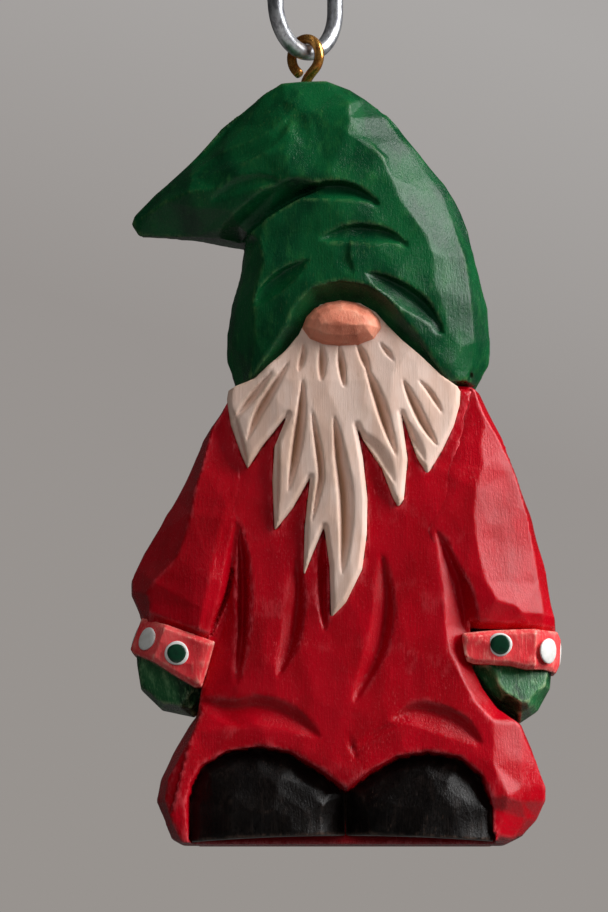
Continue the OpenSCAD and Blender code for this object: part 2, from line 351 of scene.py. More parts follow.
def painted_wood(name, thick, thin, deep, bare, roughness=0.17, wear=0.8, cloudy=0.5, gloss=0.24):
    """Thinned paint on cut wood: darker in the hollows, partly where it pools and partly as painted shade,
    and thin along the edges and the grain.
    """
    p = Paint(name)
    p.shader.inputs["Specular IOR Level"].default_value = gloss
    grain = p.noise((0.2, 0.2, 5), 4, 0.6)
    pores = p.noise((0.3, 0.3, 0.42), 3, 0.75)
    wash = p.noise((4.5, 4.5, 8), 3, 0.5)
    patch = p.noise((1.3, 1.3, 2.8), 4, 0.62)
    colour = p.mix(p.math("MULTIPLY", p.between(wash, 0.38, 0.66), cloudy * 1.6, clamp=True), thick, deep)
    colour = p.mix(p.math("MULTIPLY", p.between(patch, 0.50, 0.80), cloudy), colour, thin)
    colour = p.mix(p.math("MULTIPLY", p.between(grain, 0.52, 0.80), cloudy * 0.7), colour, thin)
    # painted shade: the hollows take the deep colour, beside the paint that pools there
    colour = p.mix(p.math("MULTIPLY", p.measure("pooling_and_shade"), 0.8), colour, deep)
    flaw = p.math("ADD", p.noise((0.18, 0.18, 1.1), 3, 0.7), p.noise((0.9, 0.9, 1.6)))
    broken = p.between(flaw, 0.86, 1.16)
    edge = p.math("MULTIPLY", p.measure("worn"), broken)
    colour = p.mix(p.math("MULTIPLY", edge, wear, clamp=True), colour, bare)
    # fine dry scratches, in clusters
    scratch = p.between(p.noise((0.22, 0.22, 0.8), 2, 0.6), 0.60, 0.70)
    cluster = p.between(p.noise((5, 5, 7), 2), 0.52, 0.68)
    colour = p.mix(p.math("MULTIPLY", p.math("MULTIPLY", scratch, cluster), wear * 0.6), colour, bare)
    p.put(p.shader.inputs["Base Color"], colour)
    rough = p.math("MULTIPLY_ADD", pores, 0.5, roughness - 0.25)
    p.put(p.shader.inputs["Roughness"], p.math("MULTIPLY_ADD", grain, 0.10, rough))
    p.bump(p.math("MULTIPLY_ADD", grain, 0.45, p.math("MULTIPLY", pores, 0.55)), 0.1)
    return p.material


def bare_wood(name):
    """Pale wood under a thin white wash, with fine brown fibres and brown painted shade in the hollows."""
    p = Paint(name)
    grain = p.noise((0.16, 0.16, 6), 5, 0.65)
    fibre = p.noise((0.07, 0.07, 1.6), 3, 0.7)
    patch = p.noise((2.5, 2.5, 6), 3, 0.5)
    colour = p.mix(p.between(patch, 0.35, 0.65), rgb(247, 216, 200), rgb(236, 198, 178))
    colour = p.mix(p.math("MULTIPLY", p.between(grain, 0.52, 0.78), 0.6), colour, rgb(190, 148, 116))
    colour = p.mix(p.math("MULTIPLY", p.between(fibre, 0.58, 0.80), 0.55), colour, rgb(253, 244, 238))
    # painted shade: brown in the hollows and along the grooves
    colour = p.mix(p.math("MULTIPLY", p.measure("pooling_and_shade"), 0.9), colour, rgb(170, 124, 92))
    colour = p.mix(p.math("MULTIPLY", p.measure("worn"), 0.35), colour, rgb(214, 182, 148))
    p.put(p.shader.inputs["Base Color"], colour)
    p.put(p.shader.inputs["Roughness"], p.math("MULTIPLY_ADD", fibre, 0.2, 0.52))
    p.bump(p.math("MULTIPLY_ADD", grain, 0.6, p.math("MULTIPLY", fibre, 0.4)), 0.05)
    return p.material


def drop_paint(name, colour, shade):
    """A raised drop of glossy paint."""
    p = Paint(name)
    flow = p.noise((0.8, 0.8, 0.8), 2)
    p.put(p.shader.inputs["Base Color"], p.mix(p.between(flow, 0.4, 0.7), colour, shade))
    p.put(p.shader.inputs["Roughness"], p.math("MULTIPLY_ADD", flow, 0.2, 0.22))
    p.bump(p.noise((0.3, 0.3, 0.3), 2), 0.02)
    return p.material


def metal(name, colour, dull, roughness, spots, depth, metallic):
    """Drawn wire with tarnish in spots."""
    p = Paint(name)
    cloud = p.noise(spots, 4, 0.6)
    fine = p.noise(tuple(s / 6 for s in spots), 3, 0.6)
    p.shader.inputs["Metallic"].default_value = metallic
    p.put(p.shader.inputs["Base Color"], p.mix(p.between(cloud, 0.4, 0.66), colour, dull))
    p.put(p.shader.inputs["Roughness"], p.math("MULTIPLY_ADD", fine, 0.25, roughness - 0.1))
    p.bump(p.math("MULTIPLY_ADD", cloud, 0.5, p.math("MULTIPLY", fine, 0.5)), depth)
    return p.material


GREEN = painted_wood("green_paint", rgb(12, 84, 44), rgb(44, 110, 54), rgb(4, 52, 30), rgb(104, 140, 84),
                     wear=0.45, cloudy=0.5)
RED = painted_wood("red_paint", rgb(188, 1, 24), rgb(204, 14, 34), rgb(164, 0, 15), rgb(240, 92, 100),
                   wear=0.6)
PINK = painted_wood("pale_red_paint", rgb(248, 84, 86), rgb(255, 148, 136), rgb(230, 54, 62),
                    rgb(255, 190, 172), cloudy=0.8)
DARK_GREEN = painted_wood("mitten_paint", rgb(38, 104, 58), rgb(124, 180, 124), rgb(12, 56, 30),
                          rgb(164, 188, 140), cloudy=0.9)
BLACK = painted_wood("black_paint", rgb(11, 7, 6), rgb(50, 40, 36), rgb(6, 4, 4), rgb(92, 72, 62), 0.3, 0.6,
                     0.5, 0.25)
TAN = painted_wood("nose_paint", rgb(255, 160, 130), rgb(255, 186, 156), rgb(176, 84, 60),
                   rgb(240, 178, 148), 0.34)
PALE = bare_wood("washed_wood")
WHITE_DROP = drop_paint("white_drop", rgb(238, 238, 234), rgb(226, 226, 220))
GREEN_DROP = drop_paint("green_drop", rgb(6, 58, 36), rgb(4, 44, 28))
BRASS = metal("brass_wire", rgb(236, 172, 88), rgb(186, 112, 48), 0.22, (1.0, 1.0, 1.4), 0.03, 0.85)
STEEL = metal("steel_wire", rgb(206, 208, 212), rgb(140, 140, 146), 0.3, (0.7, 0.7, 1.3), 0.04, 0.8)


# ---------------------------------------------------------------- outlines

NECK = 59.4
SEAM_LEFT = [(-15.4, NECK), (-14, 41), (-15.4, 31), (-17.3, 26), (-18.3, 22), (-19.6, 16.7)]
SEAM_RIGHT = [(17.3, NECK), (11.4, 40.5), (14.2, 34), (15.2, 30), (16.0, 24.5), (17.7, 20), (19.7, 17.8),
              (22.7, 15.8)]
SLEEVE_LEFT_EDGE = [(-14.4, 59.1), (-15.3, 58.1), (-17.7, 54.5), (-20, 49.8), (-22.8, 44), (-26.4, 38.2),
                    (-28, 34.6),
                    (-28.1, 32.6), (-27, 30), (-27, 28)]
SLEEVE_RIGHT_EDGE = [(15.8, 59.6), (16.6, 59.4), (17.3, 58.8), (20.2, 53), (22.4, 47.8), (24.3, 42),
                     (25.8, 36), (26.9, 31.4), (27.4, 29.6), (27.5, 26)]
HEM_LEFT = [(-20.4, 15.6), (-21.4, 13.8), (-24.2, 8.8), (-24.8, 5.9), (-22.6, 0.9), (-21, 0)]
HEM_RIGHT = [(22.7, 15.9), (24.6, 11), (26.1, 7.6), (26, 5.8), (24.6, 3.4), (22.8, 1.3), (20.2, 0)]
BRIM = [(-14.2, NECK), (-11.9, 60.3), (-10, 62.1), (-8, 63.8), (-6.2, 66), (-5.2, 68.1), (-3.4, 70),
        (-0.8, 70.6), (1.8, 70.2),
        (3.8, 69), (5.1, 67.5), (7.1, 65.4), (9.7, 63.2), (12.3, 60.8), (14.4, NECK)]
LOCKS = [
    (14.8, 58.8), (14.7, 57), (13.9, 54.2), (12.4, 51), (10.5, 47.8), (9.2, 49.9), (7.1, 55.8),
    (7.9, 49.8), (7.4, 44.6), (6.7, 43.6), (6.0, 44.8), (4.6, 48.6), (2.2, 52.2), (1.3, 54.2),
    (2.1, 50), (2.7, 44.6), (2.6, 40), (2, 35.5), (-0.1, 31.2), (-2, 29.2), (-2.2, 36), (-2.9, 41),
    (-4.2, 38), (-5.6, 34.4), (-5.4, 41), (-4.7, 47.4), (-7, 43.4), (-9.3, 40.5), (-9.6, 47), (-9.3, 51.5),
    (-7.6, 55.6), (-11, 51.4), (-12.8, 48.6), (-13.6, 50.4), (-15, 54.4), (-15.5, 57.6), (-15.3, 58.8),
]
NOSE = [(-5.2, 68.3), (-5.8, 66.8), (-4.9, 65.3), (-2.9, 64.5), (-0.6, 64.3), (1.7, 64.5), (3.7, 65.3),
        (4.6, 66.8),
        (4.2, 68.2), (3, 69.4), (1.2, 70.2), (-0.6, 70.5), (-2.6, 70.2), (-4.2, 69.4)]
BOOT_LEFT = [(-20, -0.5), (-20.3, 4.6), (-19.9, 7.6), (-18.6, 10), (-15.4, 11.8), (-11.3, 12.4), (-7.4, 11.6),
             (-3.6, 9.2), (-0.1, 6.6), (-0.1, -0.5)]
BOOT_RIGHT = [(-0.1, -0.5), (-0.1, 6.6), (3.4, 9.2), (6.5, 10.9), (10.3, 11.6), (14.4, 11), (17.2, 8.7),
              (18.7, 4.8),
              (19, -0.5)]
MITTEN_LEFT = [(-27.4, 26), (-27.2, 23.4), (-26.7, 20.3), (-24, 17.7), (-19.8, 16.8), (-18, 19), (-17, 25)]
MITTEN_RIGHT = [(14.5, 26), (15.6, 22.4), (18.9, 18.4), (22.5, 15.9), (24.9, 17.5), (26.5, 20.4), (26.9, 26)]


# ---------------------------------------------------------------- coat and sleeves

BODY_EDGE = [
    (-15.2, 59.8, 5), (-17.7, 54.5, 3.6), (-20, 49.9, 3.2), (-22.4, 45, 3), (-25, 40.3, 3),
    (-27.4, 36.4, 3), (-28.2, 33.4, 3),
    (-26.9, 30.2, 3.4), (-27, 26, 3.4), (-20.6, 20, 6.4), (-20.4, 15.6, 5), (-21.4, 13.8, 5),
    (-23.2, 10.4, 4.8), (-24.2, 8.8, 4.6),
    (-24.8, 5.9, 4.4), (-23.6, 2.8, 4.2), (-22.5, 0.8, 4.2), (-21, -1, 4.2), (-20.6, -1, 10.9),
    (0, -1, 11.2), (19.2, -1, 9.8),
    (20.2, -1, 4.6),
    (22.8, 1.3, 4.6), (24.6, 3.4, 4.6), (26, 5.8, 5.4), (26.1, 7.8, 5.6), (24.6, 11, 7), (22.7, 15.9, 8.4),
    (24, 20, 6),
    (27.5, 26, 3.4), (27.5, 29.6, 3.4), (26.9, 31.4, 3.4), (25.8, 36, 3.4), (24.3, 42, 3.6),
    (22.4, 47.8, 3.8), (20.2, 53, 4.2),
    (17.2, 59.8, 5), (16, 61, 7.4), (0, 62, 8.8), (-14, 61, 7.4), (-15.2, 59.8, 5),
]
BODY_CREASES = [
    BODY_EDGE,
    # left sleeve: the steep flat's inner edge, the crest, the rounded edge along the arm's seam, the end
    [(-14, 61, 7.4), (-15.9, 56.4, 7.4), (-17.4, 54, 8.2), (-18.8, 48.5, 8.9), (-19.6, 46, 9.2),
     (-20.1, 43, 9.4),
     (-21, 39.5, 9.5), (-22, 37, 9.6), (-25, 34, 9), (-25.9, 32.5, 8.3), (-25.4, 31.2, 8.3), (-26, 26, 7.8)],
    [(-15.9, 56.4, 7.4), (-15.4, 53, 7.9), (-14.6, 49.6, 8.6), (-13.1, 47.2, 9.3), (-10.4, 50.4, 9)],
    [(-13.1, 47.2, 9.3), (-15.4, 44, 9.8), (-16.2, 42, 10.1), (-17, 38, 10.3), (-17.8, 34, 10.5),
     (-18.6, 30.4, 10.5), (-19.4, 26, 10.2)],
    [(-14.5, 41.7, 9.9), (-15.4, 38, 9.9), (-16, 35, 9.9), (-16.8, 31, 9.9), (-17.8, 27.8, 9.8),
     (-18.6, 25.6, 9.4)],
    # bottom of the left seam, the ridge beside it, and both sides of the first fold
    [(-14.2, 42, 9.9), (-14.6, 38, 8.9), (-14.9, 35, 8.4), (-15.3, 31, 8.2), (-16.5, 27.5, 8.1),
     (-17.3, 25.6, 8.1),
     (-18.5, 22, 8.1), (-19.3, 19.5, 8.2), (-20.4, 15.6, 5)],
    [(-13.9, 41.6, 9.9), (-14.1, 38.4, 9.3), (-14.3, 35, 9.3), (-14.3, 31, 9.2), (-14.2, 28, 9.2),
     (-14.5, 24, 9.4), (-14.6, 21, 10)],
    [(-13.9, 41.6, 9.9), (-13.6, 37, 7.8), (-13.4, 32, 7.5), (-13.5, 28, 7.8), (-13.7, 24, 8.7),
     (-14, 20.4, 10.3)],
    [(-13.9, 41.6, 9.9), (-12.5, 37, 10), (-12.3, 32, 10.1), (-12.6, 28, 10.1), (-13.1, 24, 10.2),
     (-14, 20.4, 10.3)],
    # right sleeve: the large flat's edges, the seam's wall, the end
    [(16, 61, 7.4), (17.6, 56.4, 7.9), (17.9, 54.3, 7.9), (17.4, 52, 8.4), (17.7, 49, 8.6), (16.8, 46, 9.3),
     (16.4, 43, 9.8),
     (16.7, 40, 10), (17.2, 37, 10.1), (18, 34, 10.1), (19.5, 31.5, 9.9), (22, 30.8, 8.8), (22.8, 30, 8.4),
     (25.6, 29.9, 6.4)],
    [(17.6, 56.4, 7.9), (20, 52.4, 6.8), (22, 48.3, 6.1), (23.5, 43, 5.9), (24.4, 38, 5.8), (25, 34, 6),
     (25.6, 29.9, 6.4),
     (25.4, 26, 5)],
    [(11.4, 41, 9.9), (12.9, 39.4, 10), (14.9, 35.4, 10.2), (16.4, 32.5, 10.2), (17, 30, 9.9),
     (17.2, 28, 9.2), (17.6, 26, 8.6)],
    [(11.4, 41, 9.9), (13, 37.6, 8.9), (14.3, 35, 8.5), (15.1, 31, 8.2), (15.4, 28, 8.1), (15.8, 25, 8),
     (16.5, 23, 8.1),
     (17.7, 20.3, 8.2), (19.7, 17.9, 7.6), (22.7, 15.9, 8.4)],
    [(11.4, 41, 9.9), (12.2, 35, 10.1), (12.7, 31, 10.2), (12.8, 28, 10.3), (13.2, 25, 10.4),
     (14, 23.5, 10.5), (14.9, 21.5, 10.6),
     (16.5, 18.4, 10.8), (18.8, 16, 10.8), (19, 13, 11), (18.8, 10.5, 11.3), (20.8, 6.2, 11),
     (20.3, 4.3, 9.7), (19.2, 1.2, 9.9),
     (19.2, -1, 9.8)],
    [(18.8, 16, 10.8), (22.7, 15.9, 8.4)],
    [(22.7, 15.9, 8.4), (22.5, 11, 9.1), (22.6, 7.5, 9.2), (22.6, 5.7, 9.1), (24.6, 3.4, 4.6)],
    [(20.8, 6.2, 11), (22.6, 5.7, 9.1)],
    [(20.3, 4.3, 9.7), (23.2, 3.4, 6.9), (21.6, 0.9, 7.4), (19.2, 1.2, 9.9)],
    # left corner of the hem
    [(-19.3, 19.5, 8.2), (-18.8, 17.2, 9.6), (-19.8, 14.4, 10.6), (-21.6, 11, 11.2), (-23, 8.4, 11.5),
     (-23.4, 5.6, 11.6), (-22.4, 2.6, 11.2),
     (-20.6, -1, 10.9)],
    # front of the coat
    [(-9, 60, 8.8), (-10.4, 50.4, 9), (-10.4, 41, 9.8), (-10, 30, 10.2), (-11, 21, 10.6), (-12, 15, 11),
     (-13, 6, 11.3)],
    [(0, 62, 8.8), (0, 48, 9.5), (0.4, 38, 10.1), (0, 27, 10.5), (-0.4, 17, 11.1), (0, 10, 11.9),
     (0, -1, 11.2)],
    [(9.6, 60, 8.8), (9, 50, 9.4), (8.8, 40, 10), (9, 30, 10.3), (9.4, 21, 10.6), (10.6, 15, 11.3),
     (13, 6, 11.7)],
]


BED = 1.8  # how much lower the coat lies behind the beard


def body_front(x, z):
    """Depth of the coat and the sleeves in front, as one carved surface."""
    depth = relief(BODY_CREASES, x, z) - scoops(x, z, 4.5, 7, 0.1)
    for path, deep, left, right, ends in (
        ([(-14.4, 37), (-15.5, 32.4), (-16.8, 29), (-17.8, 26.4)], 1.9, 0.4, 0.3, (0, 0)),
        ([(-6.4, 37), (-6.2, 33), (-6.5, 29), (-7.2, 25.6), (-8.9, 21.6)], 1.25, 1.0, 1.9, (0, 0)),
        ([(-3, 41.6), (-2.9, 37), (-2.9, 32), (-2.8, 27.4)], 1.6, 0.7, 1.0, (0, 0)),
        ([(4.5, 37.8), (5.2, 33), (5.1, 29), (4, 24.4), (0.9, 18.2)], 1.2, 1.0, 2.0, (0, 0)),
        ([(-19.6, 18.8), (-14.8, 17.6), (-11.2, 17.9), (-7, 16.6), (-3.4, 13.8)], 1.2, 1.4, 2.6, (0.2, 0)),
        ([(5.6, 16), (8.4, 17.3), (11.4, 17), (15, 15.4), (17.4, 12.8)], 1.2, 1.3, 2.6, (0, 0)),
        ([(8.6, 16.2), (5, 14.8), (2.6, 13.3), (0.8, 11)], 0.35, 0.5, 0.7, (0, 0.3)),
        ([(0.4, 14.2), (0.7, 12.6), (1.4, 10.8)], 0.4, 0.3, 0.5, (0, 0)),
    ):
        depth = depth - cut(path, x, z, deep, left, right, ends=ends)
    # the wood behind the beard lies lower, out of reach of the beard's grooves
    bed = BED * np.clip((15.6 - np.abs(x)) / 3, 0, 1)
    return np.where(inset(LOCKS + BRIM, x, z) > 0.1, depth - bed, depth)


BODY_BACK_CREASES = [
    BODY_EDGE,
    [(-14, 61, 7.4), (-16.8, 52, 7.4), (-19.4, 45, 7.8), (-22.6, 38, 8), (-24.4, 32, 7.6), (-24, 26, 7)],
    [(16, 61, 7.4), (18.6, 52, 7.4), (20.8, 45, 7.8), (22.6, 38, 8), (23.8, 31, 7.6), (24, 26, 7)],
    [(-12, 48, 9.4), (-14, 42, 9.6), (-15.4, 34, 8.2), (-16.4, 28, 7.9), (-18.5, 22, 7.9), (-20.4, 15.6, 5)],
    [(-17.6, 42, 9.4), (-18.6, 35, 9.6), (-19.4, 29, 9.2)],
    [(-11.6, 42, 10), (-12.8, 34, 10.4), (-13.6, 26, 10.6), (-16, 18, 10.6), (-18.8, 12, 10.8),
     (-20.4, 6, 10.8), (-19, -1, 10.6)],
    [(12, 48, 9.4), (12.6, 41, 9.6), (14.6, 34, 8.2), (15.6, 27, 7.9), (17.7, 20.3, 8), (22.7, 15.9, 8.4)],
    [(15.8, 42, 9.6), (17.4, 35, 9.6), (18.4, 29, 9.2)],
    [(10.6, 42, 10), (11.8, 34, 10.4), (13, 26, 10.6), (16, 18, 10.6), (19.4, 12, 10.8), (21, 6, 10.6),
     (19, -1, 10.4)],
    [(0, 62, 8.8), (-0.5, 50, 10.2), (0.5, 36, 11), (0, 22, 11.6), (0, 10, 12.3), (0, -1, 11.8)],
]


def body_back(x, z):
    """Depth of the coat and the sleeves behind."""
    depth = relief(BODY_BACK_CREASES, x, z) - scoops(x, z, 6, 8, 0.28)
    for path, left, right in (
        ([(-6.5, 46), (-7.4, 34), (-6.2, 20)], 1.0, 2.2), ([(0.5, 40), (1.4, 28), (-0.6, 14)], 1.8, 1.2),
        ([(7, 48), (7.8, 38), (6.4, 24)], 1.0, 2.0), ([(-16, 13), (-9, 16), (-2, 13)], 0.6, 2.6),
        ([(3, 12.4), (10, 15.4), (17.4, 12)], 0.6, 2.6),
    ):
        depth = depth - cut(path, x, z, 1.1, left, right)
    return depth


def past_seam(side, x, z):
    """Distance from an arm's seam towards the middle of the coat, negative on the sleeve."""
    gap, _ = beside(np.array(SEAM_LEFT if side < 0 else SEAM_RIGHT), x, z)
    return -side * gap


def seam_line(side, z):
    """Where an arm's seam lies across, at each height."""
    seam = SEAM_LEFT if side < 0 else SEAM_RIGHT
    return np.interp(z, [p[1] for p in seam[::-1]], [p[0] for p in seam[::-1]])


LAP = 1.2  # the coat and the sleeves run on this far under each other
SINK = 0.15  # and sink by this share of the way


def arch(x):
    """Height of the hollow under the front edge of the base."""
    return 0.2 + 0.9 * np.clip(1 - (x / 21) ** 2, 0, 1)


def coat():
    step = 0.33
    x, z = grid(-26, 27, 0, NECK + 2.5, step)
    sink = 0.04 + SINK * sum(np.maximum(-past_seam(side, x, z), 0) for side in (-1, 1))
    front = body_front(x, z)
    back = body_back(x, z) - sink
    left = [(px + (-LAP if 25 < pz < 57 else 0), pz) for px, pz in SEAM_LEFT]
    right = [(px + (LAP if 25 < pz < 57 else 0), pz) for px, pz in SEAM_RIGHT]
    left[0], right[0] = (-15.3, 58.4), (16.6, 59.6)
    top = [(13.5, 59.9), (11, NECK + 2), (-10, NECK + 2), (-13, 59)]
    region = inset(left + HEM_LEFT + HEM_RIGHT[::-1] + right[::-1] + top, x, z)
    under = front - sink - 2.5 * np.clip((z - 59) / 0.4, 0, 1)
    boots = np.maximum(inset(BOOT_LEFT, x, z), inset(BOOT_RIGHT, x, z))
    # behind the boots the coat is cut back, and round them it rises away from them
    behind_boots, beside_boots, rise = 6.0, 10.1, 2.6
    rim = np.where(boots > 0, behind_boots, beside_boots + rise * -boots)
    under = np.minimum(under, rim)

    def below(x, y, z):
        """Hollow under the front edge, over the whole width of the soles."""
        return np.where(y < -7, arch(x) - z, -z - 0 * y)

    carve_piece("coat", RED, region, under, back, x, z, step, below, 0.3)


def sleeve(side):
    step = 0.25
    left = side < 0
    edge = SLEEVE_LEFT_EDGE if left else SLEEVE_RIGHT_EDGE
    seam = SEAM_LEFT[:4] if left else SEAM_RIGHT[:5]
    x, z = grid(-29 if left else 9, -12 if left else 28.5, 24, NECK + 1, step)
    sink = SINK * np.maximum(past_seam(side, x, z), 0)
    inner = [(px - side * LAP, pz) for px, pz in seam]
    region = inset(inner[::-1] + edge, x, z)
    cuff = CUFFS[side]
    up = cuff["up"](x, z)
    region = np.minimum(region, up - cuff["half"] + 0.15)
    lip = np.clip((up - cuff["half"]) / 0.9, 0, 1)
    front = body_front(x, z) - sink - 1.1 * (1 - lip)
    back = body_back(x, z) - sink - 1.1 * (1 - lip)
    carve_piece("sleeve_" + SIDES[side], RED, region, front, back, x, z, step, walls=0.3)


# ---------------------------------------------------------------- cuffs, dots and mittens

def cuff_frame(across, height, tilt, width, lower_tilt):
    turn, more = math.radians(tilt), math.radians(lower_tilt)
    c, s = math.cos(turn), math.sin(turn)

    def along(x, z):
        return (x - across) * c - (z - height) * s

    def up(x, z):
        return (x - across) * s + (z - height) * c

    def over_lower_edge(x, z):
        return (up(x, z) + CUFF_HALF) * math.cos(more) + (along(x, z) + LOWER_EDGE_PIVOT) * math.sin(more)

    return {"middle": (across, height), "turn": turn, "half_width": width / 2, "half": CUFF_HALF,
            "across": along, "up": up, "over_lower_edge": over_lower_edge}


LOWER_EDGE_PIVOT = 2.4  # the lower edge turns about a point this far left of the middle
CUFF_HALF = 2.45  # half the height of a cuff
CUFFS = {
    -1: cuff_frame(-22.7, 25.5, 20, 10, 10),
    1: cuff_frame(21.9, 25.3, 3, 11.8, 0),
}
CUFF_FRONT, CUFF_BACK = 9.9, 8.4
CORNER_ACROSS, CORNER_DEEP = 3.4, 4.0
DOT_FROM_MIDDLE = {-1: 1.0, 1: 2.1}
DOT_OVER_MIDDLE = {-1: -0.5, 1: 0.4}
CUFF_LEAN = {-1: -0.05, 1: 0.14}  # the front faces turn about their dots


CUFF_OUTLINES = {
    -1: [(-17, 26.2), (-22, 28), (-26.7, 29.6), (-28.2, 27.6), (-28.3, 25.7), (-27.6, 24.8), (-24.9, 23.6),
         (-22, 21.7),
         (-19.6, 20.3), (-18.7, 20.3), (-17.9, 22.9)],
    1: [(15, 27.3), (19, 27.7), (24, 27.9), (27.4, 27.7), (28.1, 26.2), (28, 24), (27.2, 22.3),
        (25.4, 22.7), (23.2, 22.6),
        (21, 23.1), (16.4, 23.3), (14.6, 24)],
}


def cuff(side):
    step = 0.16
    place = CUFFS[side]
    cx, cz = place["middle"]
    x, z = grid(cx - 7.5, cx + 7.5, cz - 5, cz + 5, step)
    out = side * place["across"](x, z) - place["half_width"]  # distance past the outer face
    slope = CORNER_DEEP / CORNER_ACROSS
    front = np.minimum(CUFF_FRONT + 0 * out, CUFF_FRONT - slope * (out + CORNER_ACROSS))
    back = np.minimum(CUFF_BACK + 0 * out, CUFF_BACK - slope * (out + CORNER_ACROSS))
    front = front - CUFF_LEAN[side] * (place["across"](x, z) + side * DOT_FROM_MIDDLE[side])
    outline = inset(CUFF_OUTLINES[side], x, z)
    lip = np.clip(outline / 0.6, 0, 1)
    flats = scoops(x, z, 3.4, 2.6, 0.16, 0.8)
    front = front - 0.5 * (1 - lip) - flats
    back = back - 0.5 * (1 - lip) - flats
    inner = seam_line(side, z)
    region = np.minimum(outline, -out)
    region = np.minimum(region, side * (x - inner) + 0.8)
    carve_piece("cuff_" + SIDES[side], PINK, region, front, back, x, z, step)


def drop(radius, height, rings=10, sides=40):
    """A domed drop of paint on the XY plane, with a rounded rim, as vertices and faces."""
    profile = [(radius * math.sin(a) ** 0.8, height * math.cos(a) ** 0.7 if a < math.pi / 2 else 0)
               for a in np.linspace(0, math.pi / 2, rings)[1:]]
    profile.append((radius * 0.97, -0.12))
    wobble = 1 + 0.025 * np.sin(np.arange(sides) * 2 * math.pi / sides * 3 + chance.uniform(0, 6))
    verts = [(0, 0, height)]
    for r, h in profile:
        verts += [(r * w * math.cos(a), r * w * math.sin(a), h)
                  for a, w in zip(np.arange(sides) * 2 * math.pi / sides, wobble)]
    faces = [(0, 1 + k, 1 + (k + 1) % sides) for k in range(sides)]
    for ring in range(len(profile) - 1):
        a = 1 + ring * sides
        for k in range(sides):
            after = (k + 1) % sides
            faces.append((a + k, a + sides + k, a + sides + after, a + after))
    last = 1 + (len(profile) - 1) * sides
    faces.append(tuple(last + k for k in range(sides))[::-1])
    return np.array(verts, float), faces


def dot_places(side):
    """Middle and outward direction of each dot's facet, front to back, in the cuff's frame."""
    place = CUFFS[side]
    half = place["half_width"]
    corner = np.array([side * CORNER_DEEP, -CORNER_ACROSS, 0]) / math.hypot(CORNER_DEEP, CORNER_ACROSS)
    return [
        ((-side * DOT_FROM_MIDDLE[side], -CUFF_FRONT, DOT_OVER_MIDDLE[side]), (0, -1, 0)),
        ((side * (half - CORNER_ACROSS / 2), -CUFF_FRONT + CORNER_DEEP / 2, 0), corner),
        ((side * half, (CUFF_BACK - CUFF_FRONT) / 2, 0), (side, 0, 0)),
        ((side * (half - CORNER_ACROSS / 2), CUFF_BACK - CORNER_DEEP / 2, 0), corner * (1, -1, 1)),
        ((-side * DOT_FROM_MIDDLE[side], CUFF_BACK, DOT_OVER_MIDDLE[side]), (0, 1, 0)),
    ]


def dots(side, every, radius, height, base, colour, material):
    """All the drops of one colour on one cuff, as one piece."""
    place = CUFFS[side]
    cx, cz = place["middle"]
    c, s = math.cos(place["turn"]), math.sin(place["turn"])
    all_verts, all_faces = [], []
    for middle, out in dot_places(side)[::every]:
        shape, faces = drop(radius * chance.uniform(0.95, 1.05), height)
        out = np.array(out, float)
        up = np.array([0, 0, 1.0])
        across = np.cross(up, out)
        local = np.array(middle) + shape[:, :1] * across + shape[:, 1:2] * up + (shape[:, 2:] + base) * out
        turned = np.stack([local[:, 0] * c + local[:, 2] * s, local[:, 1],
                           -local[:, 0] * s + local[:, 2] * c], 1)
        offset = sum(len(v) for v in all_verts)
        all_faces += [tuple(i + offset for i in face) for face in faces]
        all_verts.append(turned + (cx, 0, cz))
    name = f"{colour}_dots_{SIDES[side]}"
    make_mesh(name + "_drops", np.vstack(all_verts), all_faces, "figure", [name], material)


def mitten(side):
    step = 0.18
    outline = MITTEN_LEFT if side < 0 else MITTEN_RIGHT
    left, right = min(p[0] for p in outline), max(p[0] for p in outline)
    x, z = grid(left, right, 15.5, 25, step)
    inside = inset(outline, x, z)
    dome = np.interp(inside, [0, 0.9, 2.2, 4], [3.4, 5.8, 7.3, 7.7] if side < 0 else [3.6, 6.8, 8.7, 9.4])
    front = dome - scoops(x, z, 3.2, 3.2, 0.7, 0.8)
    if side > 0:
        front = np.minimum(front, 9 - 0.4 * (x - 19.5) - 0.25 * (z - 20))
    else:
        front = np.minimum(front, 7.2 + 0.55 * (x + 20.5) + 0.3 * (z - 21))
    back = np.minimum(dome, 7.7) - 0.8 - scoops(x, z, 3.2, 3.2, 0.7, 0.8)
    place = CUFFS[side]
    region = np.minimum(inside, 0.4 - place["over_lower_edge"](x, z))
    inner = seam_line(side, z)
    region = np.minimum(region, side * (x - inner) + 0.3)
    carve_piece("mitten_" + SIDES[side], DARK_GREEN, region, front, back, x, z, step)


# ---------------------------------------------------------------- hat

HAT_EDGE = [
    (-14.4, 59.4, 3.8), (-15.4, 63, 3.8), (-15.6, 66.5, 3.8), (-14.9, 71.2, 3.8), (-13.7, 76, 4),
    (-13.2, 78.7, 4.4),
    (-20, 79.5, 2.9), (-27.2, 79.7, 1.8), (-28.3, 81.2, 1.7), (-27.9, 82.5, 1.7), (-24.6, 85.6, 2.2),
    (-20.2, 89.9, 2.6),
    (-15.2, 94.8, 3), (-11, 98.4, 3.4), (-8.4, 99.8, 3.8), (-5.9, 100, 4), (-2.6, 100.1, 4.2),
    (0.5, 98.9, 4.2),
    (2.5, 97.6, 4), (5.6, 95, 3.8), (9.8, 90.5, 3.6), (13, 86.4, 3.6), (14.9, 82.6, 3.7), (16.5, 78.2, 3.8),
    (17.7, 74.4, 3.9), (18.5, 70, 4), (18.8, 65.6, 4), (18.5, 62.6, 4), (17.1, 59.8, 4.2), (16.4, 59.2, 4.4),
    (15.6, 59.2, 7.8), (0, 57, 11.5), (-13, 59, 8.6), (-14.4, 59.4, 3.8),
]
